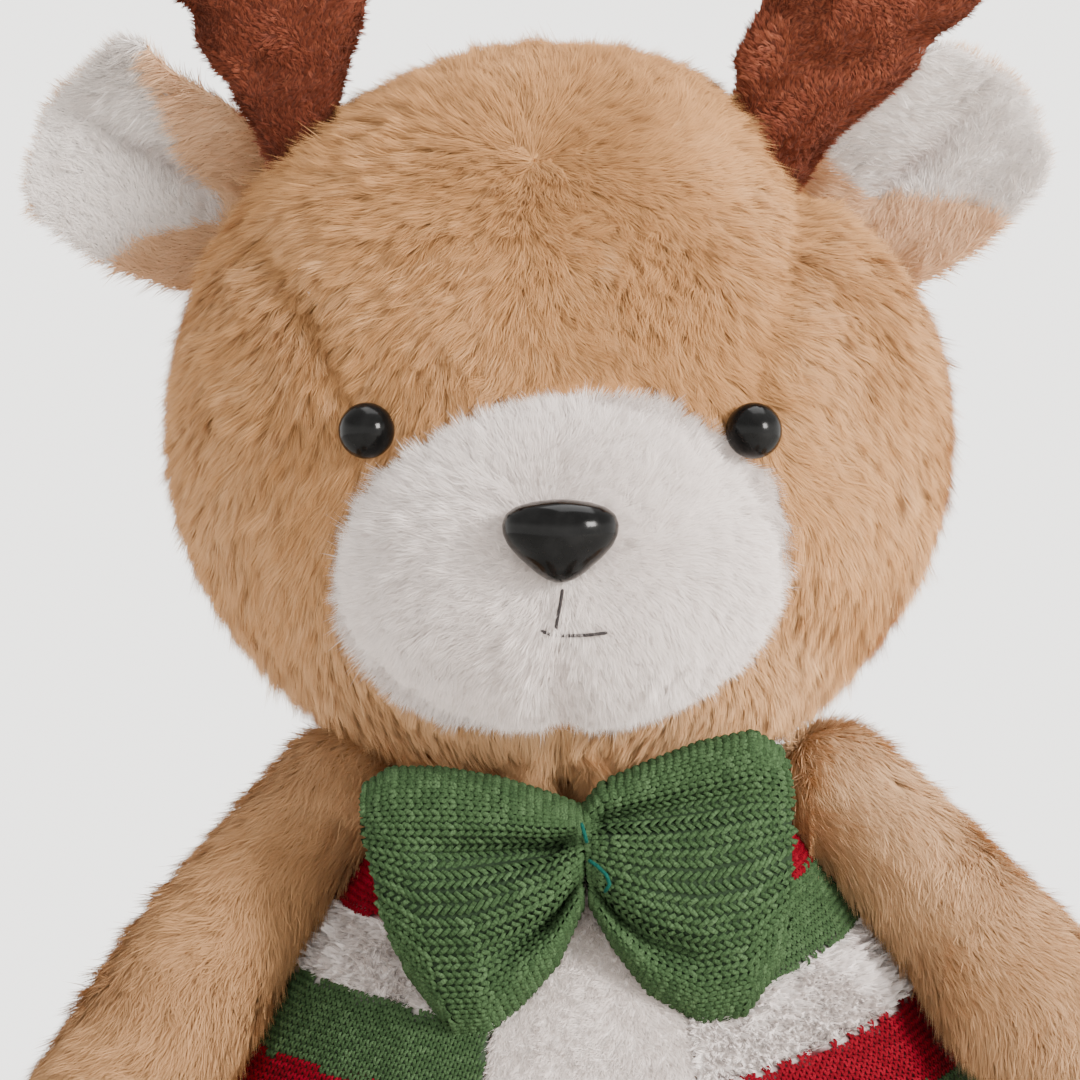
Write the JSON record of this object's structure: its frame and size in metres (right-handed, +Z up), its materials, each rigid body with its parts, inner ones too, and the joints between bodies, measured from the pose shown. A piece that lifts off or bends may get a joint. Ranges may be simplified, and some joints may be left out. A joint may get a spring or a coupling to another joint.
{
  "type": "plush deer",
  "caption": "Seated stuffed deer with cloth antlers, bead eyes, a white muzzle, a striped knitted waistcoat and a bow tie; head, ears, limbs and tail move on their seams.",
  "frame": {"origin": "middle of the flat seat under the torso, on the surface the toy sits on", "axes": "+Z up, the face looks along -Y, the deer's own left is +X"},
  "size_m": [0.2743, 0.2442, 0.3757],
  "materials": {
    "tan_plush": "soft tan plush pile about 10 mm long, brushed",
    "white_plush": "soft white plush pile, denser and shorter than the tan",
    "brown_pile": "reddish brown short pile, lightly wrinkled",
    "vest_knit": "fine knit in green, red and white stripes",
    "green_knit": "green plain knit",
    "seam_cloth": "backing cloth of the plush",
    "stuffing": "polyester fibre",
    "pellets": "small plastic pellets in a cloth bag",
    "black_bead": "glossy black",
    "washer_plastic": "plain moulded",
    "grey_thread": "dark grey sewing thread",
    "teal_thread": "teal sewing thread"
  },
  "bodies": {
    "torso": {"torso_skin": "tan_plush", "torso_stuffing": "stuffing", "pellet_bag": "pellets", "belly_panel": "white_plush", "vest_front_left": "vest_knit", "vest_front_right": "vest_knit", "vest_back": "vest_knit"},
    "neck_ring": {"neck_seam": "seam_cloth"},
    "head": {"head_skin": "tan_plush", "head_stuffing": "stuffing", "muzzle_skin": "white_plush", "muzzle_stuffing": "stuffing", "eye_left": "black_bead", "eye_right": "black_bead", "eye_washer_left": "washer_plastic", "eye_washer_right": "washer_plastic", "nose": "black_bead", "nose_washer": "washer_plastic", "mouth_stitching": "grey_thread"},
    "bow": {"bow_tie": "green_knit", "bow_thread": "teal_thread"},
    "tail": {"tail": "tan_plush"},
    "ear_left": {"ear_back_left": "tan_plush", "ear_lining_left": "white_plush"},
    "antler_left": {"antler_left": "brown_pile"},
    "shoulder_left": {"arm_left_seam": "seam_cloth"},
    "arm_left": {"arm_left_skin": "tan_plush", "arm_left_stuffing": "stuffing"},
    "hip_left": {"leg_left_seam": "seam_cloth"},
    "leg_left": {"leg_left_skin": "tan_plush", "leg_left_stuffing": "stuffing", "leg_left_sole": "tan_plush"},
    "ear_right": {"ear_back_right": "tan_plush", "ear_lining_right": "white_plush"},
    "antler_right": {"antler_right": "brown_pile"},
    "shoulder_right": {"arm_right_seam": "seam_cloth"},
    "arm_right": {"arm_right_skin": "tan_plush", "arm_right_stuffing": "stuffing"},
    "hip_right": {"leg_right_seam": "seam_cloth"},
    "leg_right": {"leg_right_skin": "tan_plush", "leg_right_stuffing": "stuffing", "leg_right_sole": "tan_plush"}
  },
  "joints": [
    {"name": "head_turn", "type": "hinge", "parent": "torso", "child": "neck_ring", "pos_m": [0, 0, 0.15], "axis": [0, 0, 1], "range_deg": [-25, 25], "stiffness_Nm_per_rad": 2},
    {"name": "head_nod", "type": "hinge", "parent": "neck_ring", "child": "head", "pos_m": [0, 0, 0.15], "axis": [1, 0, 0], "range_deg": [-12, 4], "stiffness_Nm_per_rad": 3},
    {"name": "ear_left_flap", "type": "hinge", "parent": "head", "child": "ear_left", "pos_m": [0.06066, 0.01, 0.281], "axis": [0.6545, 0.2079, -0.7269], "range_deg": [-20, 12], "stiffness_Nm_per_rad": 0.05},
    {"name": "antler_left_tilt", "type": "hinge", "parent": "head", "child": "antler_left", "pos_m": [0.045, -0.012, 0.29346], "axis": [1, 0, 0], "range_deg": [-12, 12], "stiffness_Nm_per_rad": 0.1},
    {"name": "arm_left_swing", "type": "hinge", "parent": "torso", "child": "shoulder_left", "pos_m": [0.0545, -0.009, 0.162], "axis": [-1, 0, 0], "range_deg": [0, 85], "stiffness_Nm_per_rad": 0.3},
    {"name": "arm_left_raise", "type": "hinge", "parent": "shoulder_left", "child": "arm_left", "pos_m": [0.0545, -0.009, 0.162], "axis": [0, -1, 0], "range_deg": [0, 55], "stiffness_Nm_per_rad": 0.3},
    {"name": "leg_left_lift", "type": "hinge", "parent": "torso", "child": "hip_left", "pos_m": [0.051, -0.04998, 0.0295], "axis": [-1, 0, 0], "range_deg": [-20, 25], "stiffness_Nm_per_rad": 0.5},
    {"name": "leg_left_splay", "type": "hinge", "parent": "hip_left", "child": "leg_left", "pos_m": [0.051, -0.04998, 0.0295], "axis": [0, 0, 1], "range_deg": [-12, 20], "stiffness_Nm_per_rad": 0.4},
    {"name": "ear_right_flap", "type": "hinge", "parent": "head", "child": "ear_right", "pos_m": [-0.07266, 0.01, 0.281], "axis": [0.5285, -0.2419, 0.8138], "range_deg": [-20, 20], "stiffness_Nm_per_rad": 0.05},
    {"name": "antler_right_tilt", "type": "hinge", "parent": "head", "child": "antler_right", "pos_m": [-0.057, -0.012, 0.29346], "axis": [1, 0, 0], "range_deg": [-12, 12], "stiffness_Nm_per_rad": 0.1},
    {"name": "arm_right_swing", "type": "hinge", "parent": "torso", "child": "shoulder_right", "pos_m": [-0.0545, -0.009, 0.162], "axis": [-1, 0, 0], "range_deg": [0, 85], "stiffness_Nm_per_rad": 0.3},
    {"name": "arm_right_raise", "type": "hinge", "parent": "shoulder_right", "child": "arm_right", "pos_m": [-0.0545, -0.009, 0.162], "axis": [0, 1, 0], "range_deg": [0, 55], "stiffness_Nm_per_rad": 0.3},
    {"name": "leg_right_lift", "type": "hinge", "parent": "torso", "child": "hip_right", "pos_m": [-0.051, -0.04998, 0.0295], "axis": [-1, 0, 0], "range_deg": [-20, 25], "stiffness_Nm_per_rad": 0.5},
    {"name": "leg_right_splay", "type": "hinge", "parent": "hip_right", "child": "leg_right", "pos_m": [-0.051, -0.04998, 0.0295], "axis": [0, 0, -1], "range_deg": [-12, 20], "stiffness_Nm_per_rad": 0.4},
    {"name": "bow_swivel", "type": "hinge", "parent": "torso", "child": "bow", "pos_m": [-0.0014, -0.04925, 0.158], "axis": [0, 1, 0], "range_deg": [-10, 10], "stiffness_Nm_per_rad": 0.05},
    {"name": "tail_wag", "type": "hinge", "parent": "torso", "child": "tail", "pos_m": [0, 0.06396, 0.0505], "axis": [1, 0, 0], "range_deg": [0, 25], "stiffness_Nm_per_rad": 0.02}
  ]
}
